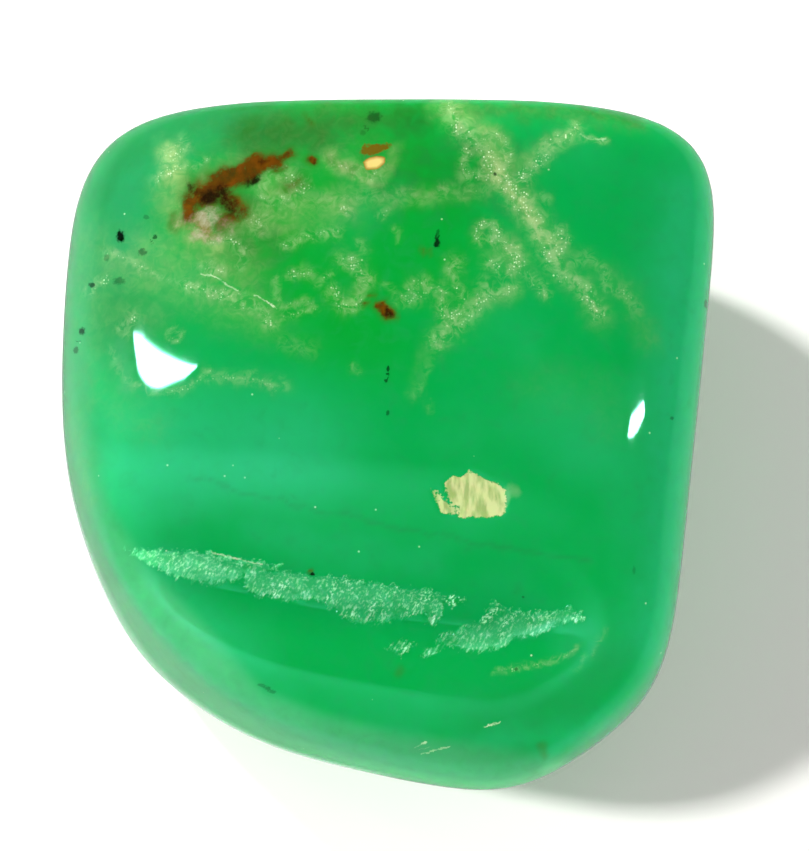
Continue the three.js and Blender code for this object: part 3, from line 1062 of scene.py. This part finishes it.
# %% Rows and painted crumb glints of the bed
# The glint colour is a painted highlight: the crumbs and faces that glitter.
BED, PAINTED_BED_GLINT = "#54C486", "#B4ECC6"
ROW_SPACING, CRUMB_SIZE, ROW_STRETCH = 0.3333, 0.08333, 2.4       # mm, mm, times as long
slanted = add(look, "ShaderNodeMapping", {
    "Vector": place, "Rotation": (0, 0, math.radians(60)), "Scale": (ROW_STRETCH, 1.0, 1.0),
}, vector_type="TEXTURE")
streaks = add(look, NOISE, {
    "Vector": slanted, "Scale": 1 / ROW_SPACING, "Detail": 3, "Roughness": 0.6,
})
edge = add(look, MATH, {0: streaks, 1: 0.7, 2: kept["rough"]}, operation="MULTIPLY_ADD")
edge = add(look, MATH, {0: fine, 1: 0.3, 2: edge}, operation="MULTIPLY_ADD")
bed = add(look, RANGE, {0: edge, 1: 0.5, 2: 0.68}, **SOFT)
pale_part = add(look, MATH, {0: kept["pale"], 1: bed}, operation="MULTIPLY")
rows = add(look, RANGE, {0: streaks, 1: 0.4, 2: 0.64, 3: 0.12}, **SOFT)
tint = add(look, MATH, {0: rows, 1: 0.45, 2: 0.5}, operation="MULTIPLY_ADD")
tint = add(look, MATH, {0: tint, 1: pale_part}, operation="MULTIPLY")
crumb_glints = add(look, NOISE, {
    "Vector": slanted, "Scale": 1 / CRUMB_SIZE, "Detail": 2, "Roughness": 0.7,
})
crumb_glints = add(look, RANGE, {0: crumb_glints, 1: 0.46, 2: 0.7}, **SOFT)
lit = add(look, MATH, {0: pale_part, 1: 0.3, 2: 0.36}, operation="MULTIPLY_ADD")
lit = add(look, MATH, {0: lit, 1: rows}, operation="MULTIPLY")
lit = add(look, MATH, {0: kept["painted_glitter"], 1: lit}, operation="MAXIMUM")
lit = add(look, MATH, {0: lit, 1: bed}, operation="MULTIPLY")
crumb_glints = add(look, MATH, {0: crumb_glints, 1: lit}, operation="MULTIPLY")
for share, colour in ((tint, BED), (crumb_glints, PAINTED_BED_GLINT)):
    body = add(look, MIX, {0: share, 1: body, 2: linear(colour)})
print("nodes so far:", len(look.nodes))

# %% [markdown]
# ## Chromite specks and hair cracks
#
# Chromite is a black ore that grew with the nickel. A speck of it is only a few pixels wide,
# and a crack about one. They could be tiny pieces, but they end flush with the polish. The
# mesh keeps the way to each centre, in radii of the speck or in mm from the crack, so the
# length of that way is all that the material needs. A little noise keeps them from being neat.

# %% Specks and cracks
# The crack colour is a painted highlight: a bright line along each hair crack.
SPECK, CRACK_HIGHLIGHT = "#06160C", "#B7CBA8"
wobble = add(look, VECTOR, {0: fine.outputs["Color"], 1: (0.5, 0.5, 0.5)}, operation="SUBTRACT")
broken = add(look, RANGE, {0: middle, 1: 0.3, 2: 0.6, 4: 0.85})
for guide, shake, slack, edge, inside, most, colour in (
    ("speck", 1.6, 1.4, 1.15, 0.6, kept["speck_dark"], SPECK),
    ("crack", 0.2, 0.15, 0.045, 0.015, broken, CRACK_HIGHLIGHT),
):
    way = add(look, VECTOR, {0: wobble, 1: (shake, shake, 0), 2: kept[guide + "_way"]},
              operation="MULTIPLY_ADD")
    way = add(look, VECTOR, {0: way, 1: (1, 1, 0)}, operation="MULTIPLY")
    span = add(look, VECTOR, {0: way}, operation="LENGTH").outputs["Value"]
    far = add(look, MATH, {0: kept[guide + "_gap"], 1: slack}, operation="SUBTRACT")
    span = add(look, MATH, {0: span, 1: far}, operation="MAXIMUM")
    part = add(look, RANGE, {0: span, 1: edge, 2: inside, 4: most}, **SOFT)
    body = add(look, MIX, {0: part, 1: body, 2: linear(colour)})
print("nodes so far:", len(look.nodes))

# %% [markdown]
# ## Polish and depth
#
# The polish mirrors like glass, and only the bed and the cream fleck are matt. Chalcedony has
# an index of refraction of 1.54, so it mirrors little seen head on and much at its edges. It
# could be glass with a fog inside, which renders slowly and hides the markings. Scattering
# under the skin gives the same softness: green light travels furthest, red least.

# %% Gloss, fine relief and the finished material
POLISHED, BROKEN = 0.04, 0.4                # roughness of the two skins
FINE_GRAIN_HEIGHT = 0.04 * MM
CHALCEDONY_IOR = 1.54
DEPTH, DEPTH_SHARES = 5.0 * MM, (0.2, 1.0, 0.4)        # how far red, green and blue travel
# Real polish mirrors without a tint. This one keeps the mirrored bands as green as they look
# in the photograph.
MIRROR_TINT = "#6CFFE7"
rough_part = add(look, MATH, {0: bed, 1: cream_part}, operation="MAXIMUM")
gloss = add(look, RANGE, {0: rough_part, 3: POLISHED, 4: BROKEN})
bed_grain = add(look, MATH, {0: fine, 1: bed}, operation="MULTIPLY")
bumps = add(look, "ShaderNodeBump", {
    "Strength": 1.0, "Distance": FINE_GRAIN_HEIGHT, "Height": bed_grain,
})
surface = add(look, "ShaderNodeBsdfPrincipled", {
    "Base Color": body, "Roughness": gloss, "Normal": bumps, "IOR": CHALCEDONY_IOR,
    "Subsurface Weight": 1.0, "Subsurface Scale": DEPTH, "Subsurface Radius": DEPTH_SHARES,
    "Specular Tint": linear(MIRROR_TINT),
})
add(look, "ShaderNodeOutputMaterial", {"Surface": surface})
mesh.materials.append(chrysoprase)
print("material nodes:", len(look.nodes))

# %% [markdown]
# ## Table
#
# The stone lies on white paper that is lit until it is pure white, apart from the shadow. It
# could be a backdrop that curves up, but the camera looks so far down that a flat sheet fills
# the picture. Uncoated paper is a felt of fibres, so it scatters light evenly and has no gloss.

# %% White floor
FLOOR_WIDTH = 3.0
PAPER, PAPER_ROUGHNESS = "#FBFAF6", 0.9
floor_mesh = bpy.data.meshes.new("floor")
half = FLOOR_WIDTH / 2
floor_mesh.from_pydata(
    [(-half, -half, 0), (half, -half, 0), (half, half, 0), (-half, half, 0)], [], [(0, 1, 2, 3)]
)
floor = bpy.data.objects.new("floor", floor_mesh)
bpy.context.scene.collection.objects.link(floor)
paper = bpy.data.materials.new("white_paper")
paper.use_nodes = True
paper_skin = paper.node_tree.nodes["Principled BSDF"]
paper_skin.inputs["Base Color"].default_value = linear(PAPER)
paper_skin.inputs["Roughness"].default_value = PAPER_ROUGHNESS
floor_mesh.materials.append(paper)
print("floor:", FLOOR_WIDTH, "m wide")

# %% [markdown]
# ## Room and lamps
#
# The room is brightest low down at the right, which fills the shadow and the stone's dark side.
# Two lamps at the left make the paper pure white. One could throw no shadow like the
# photograph's: the paper is only grey where both lamps are hidden.

# %% The room
LEFT_WALL, RIGHT_WALL, OVERHEAD = 0.1, 5.8, 0.3
WALLS_END, OVERHEAD_START = math.sin(math.radians(3)), math.sin(math.radians(31))
BRIGHT_WAY, WALL_FADE = Vector((1.0, -0.25, 0.0)).normalized(), 0.6
ROOM_TINT = "#FFF9FC"
world = bpy.data.worlds.new("room")
bpy.context.scene.world = world
world.use_nodes = True
room = world.node_tree
room.nodes.clear()
way = add(room, "ShaderNodeTexCoord").outputs["Generated"]
side = add(room, VECTOR, {0: way, 1: BRIGHT_WAY}, operation="DOT_PRODUCT").outputs["Value"]
walls = add(room, RANGE, {
    0: side, 1: -WALL_FADE, 2: WALL_FADE, 3: LEFT_WALL, 4: RIGHT_WALL,
}, **SOFT)
height = add(room, "ShaderNodeSeparateXYZ", {0: way}).outputs["Z"]
glow = add(room, RANGE, {
    0: height, 1: WALLS_END, 2: OVERHEAD_START, 3: walls, 4: OVERHEAD,
}, **SOFT)
sky = add(room, "ShaderNodeBackground", {"Color": linear(ROOM_TINT), "Strength": glow})
add(room, "ShaderNodeOutputWorld", {"Surface": sky})
world.cycles_visibility.glossy = False
print("nodes of the room:", len(room.nodes))

# %% Two key lamps
KEY_AWAY, KEY_SIZE = 0.6, 0.06
PAPER_LIGHT = 0.65        # what each lamp adds to the paper, where 1 is white
for name, azimuth, elevation in (("back_key", 135, 38), ("left_key", 185, 45)):
    turn, rise = math.radians(azimuth), math.radians(elevation)
    way = Vector((math.cos(rise) * math.cos(turn), math.cos(rise) * math.sin(turn), math.sin(rise)))
    radiance = PAPER_LIGHT * math.pi * KEY_AWAY**2 / KEY_SIZE**2 / math.sin(rise)
    light = bpy.data.lights.new(name, "AREA")
    light.size = KEY_SIZE
    light.energy = radiance * math.pi * KEY_SIZE**2
    lamp = bpy.data.objects.new(name, light)
    lamp.location = way * KEY_AWAY
    lamp.rotation_euler = way.to_track_quat("Z", "Y").to_euler()
    lamp.visible_glossy = False
    bpy.context.scene.collection.objects.link(lamp)
    print(name, "at, mm:", [round(v / MM) for v in lamp.location])

# %% [markdown]
# ## What the polish mirrors
#
# The polish mirrors the paper along the stone's foot, and three bright things besides. They
# could be lamps of a guessed size, but a mirrored shape bends with the stone. So each is a
# sheet that hangs where the stone mirrors it into the spots that the photograph shows. The
# room and the two lamps aren't mirrored, so the plateau keeps its deep green.

# %% The direction that a spot of the picture mirrors
stone_tree = BVHTree.FromPolygons([Vector(p) for p in skin], faces)


def mirror_way(across, down):
    """The place on the stone that a pixel shows, and the direction that it mirrors."""
    zoom = LENS / SENSOR * PICTURE_HEIGHT
    aside = RIGHT * (across - PICTURE_WIDTH / 2) / zoom
    below = UP * (down - PICTURE_HEIGHT / 2) / zoom
    way = Vector(AHEAD + aside - below).normalized()
    hit, normal, _, _ = stone_tree.ray_cast(Vector(eye), way)
    return hit, (way - 2 * way.dot(normal) * normal).normalized()


middle_way = mirror_way(PICTURE_WIDTH / 2, PICTURE_HEIGHT / 2)[1]
print("the picture's middle mirrors the way", [round(v, 2) for v in middle_way])

# %% Glowing sheets
WHITE = "#FFFFFF"
HIDDEN_FROM = ("camera", "diffuse", "transmission", "volume_scatter", "shadow")


def glowing_sheet(name, rows, radiance, colour=WHITE):
    """A sheet that only the gloss sees. Each row holds places and their share of the glow."""
    wide = len(rows[0])
    cells = [(j * wide + i, j * wide + i + 1, (j + 1) * wide + i + 1, (j + 1) * wide + i)
             for j in range(len(rows) - 1) for i in range(wide - 1)]
    sheet_mesh = bpy.data.meshes.new(name)
    sheet_mesh.from_pydata([place for row in rows for place, _ in row], [], cells)
    glows = [glow for row in rows for _, glow in row]
    sheet_mesh.attributes.new("glow", "FLOAT", "POINT").data.foreach_set("value", glows)
    paint = bpy.data.materials.new(name)
    paint.use_nodes = True
    paint.node_tree.nodes.clear()
    glow = add(paint.node_tree, KEPT, attribute_name="glow").outputs["Fac"]
    glow = add(paint.node_tree, MATH, {0: glow, 1: radiance}, operation="MULTIPLY")
    glow = add(paint.node_tree, "ShaderNodeEmission", {"Color": linear(colour), "Strength": glow})
    add(paint.node_tree, "ShaderNodeOutputMaterial", {"Surface": glow})
    sheet_mesh.materials.append(paint)
    sheet = bpy.data.objects.new(name, sheet_mesh)
    for ray in HIDDEN_FROM:
        setattr(sheet, "visible_" + ray, False)
    bpy.context.scene.collection.objects.link(sheet)
    print(name, "spans, mm:", [round(side / MM) for side in sheet.dimensions])


# %% The paper as the polish mirrors it
# The paper itself is left out of the gloss, because its mirror image has to be dimmer beside
# the stone, where the stone shades it, and far away, where the photograph's table ends.
floor.visible_glossy = False
PAPER_GLOW, SHADOW_GLOW, BACK_GLOW = 0.9, 0.45, 0.6
SHADOW_FROM, SHADOW_TO, BACK_TO = -95, 20, 165          # azimuth in degrees
RING_STEP = 10                                          # degrees between a ring's points
BELOW_FLOOR = 1 * MM
PAPER_RINGS = [                                         # mm past the stone's foot, glow
    (-5, 1), (0.4, 1), (1.6, 0.4), (8, 0.7), (15, 1), (32, 0.8), (80, 0.45), (900, 0.1),
]
foot_spans = np.hypot(skin[:, 0], skin[:, 1])
foot_turns = np.degrees(np.arctan2(skin[:, 1], skin[:, 0]))
rings = []
for past_foot, glow in PAPER_RINGS:
    rings.append([])
    for azimuth in range(-180, 181, RING_STEP):
        aside = np.abs((foot_turns - azimuth + 180) % 360 - 180)
        radius = foot_spans[aside < RING_STEP / 2].max() + past_foot * MM
        turn = math.radians(azimuth)
        spot = Vector((math.cos(turn) * radius, math.sin(turn) * radius, -BELOW_FLOOR))
        if SHADOW_FROM <= azimuth <= SHADOW_TO:
            most = SHADOW_GLOW
        else:
            most = BACK_GLOW if SHADOW_TO < azimuth < BACK_TO else 1
        rings[-1].append((spot, min(glow, most)))
glowing_sheet("mirrored_paper", rings, PAPER_GLOW)

# %% Two glints and the pale band on the front
SHEET_AWAY = 0.12         # metres from the stone to each sheet
GLINT_LIGHT, PANEL_LIGHT = 220, 2.2
GLINT_TINT = "#FFAAB3"    # the tinted polish dims its red, so the glint comes out white
LEFT_GLINT = [
    [(133, 333, 1), (142, 336, 1), (168, 354, 1), (198, 367, 1)],
    [(137, 368, 1), (145, 383, 1), (160, 388, 1), (185, 378, 1)],
]
RIGHT_GLINT = [
    [(628, 437, 1), (631, 415, 1), (643, 401, 1)],
    [(632, 438, 1), (638, 430, 1), (645, 412, 1)],
]
# Where the band's upper edge shows, with its glow. No point lies on the dented cream fleck.
BAND_EDGE = [
    (94, 445, 0.3), (118, 447, 0.9), (170, 450, 1), (250, 457, 0.9), (330, 463, 0.8),
    (400, 470, 0.65), (425, 474, 0.55), (530, 494, 0.25), (600, 512, 0),
]
BAND_ROWS = [(-12, 0), (2, 0.65), (15, 1.0), (40, 0.62), (80, 0)]      # pixels below it, glow
band = [[(x, y + down, glow * share) for x, y, glow in BAND_EDGE] for down, share in BAND_ROWS]
for name, rows, radiance, colour in (
    ("left_glint", LEFT_GLINT, GLINT_LIGHT, GLINT_TINT),
    ("right_glint", RIGHT_GLINT, GLINT_LIGHT, GLINT_TINT),
    ("front_panel", band, PANEL_LIGHT, WHITE),
):
    hung = []
    for row in rows:
        hung.append([])
        for across, down, glow in row:
            hit, way = mirror_way(across, down)
            hung[-1].append((hit + way * SHEET_AWAY, glow))
    glowing_sheet(name, hung, radiance, colour)

# %% [markdown]
# ## Finish
#
# A photograph of white paper is white, and the film-like view that Blender starts with turns
# white paper grey. So the picture is shown as it is.

# %% Finish
bpy.context.scene.view_settings.view_transform = "Standard"
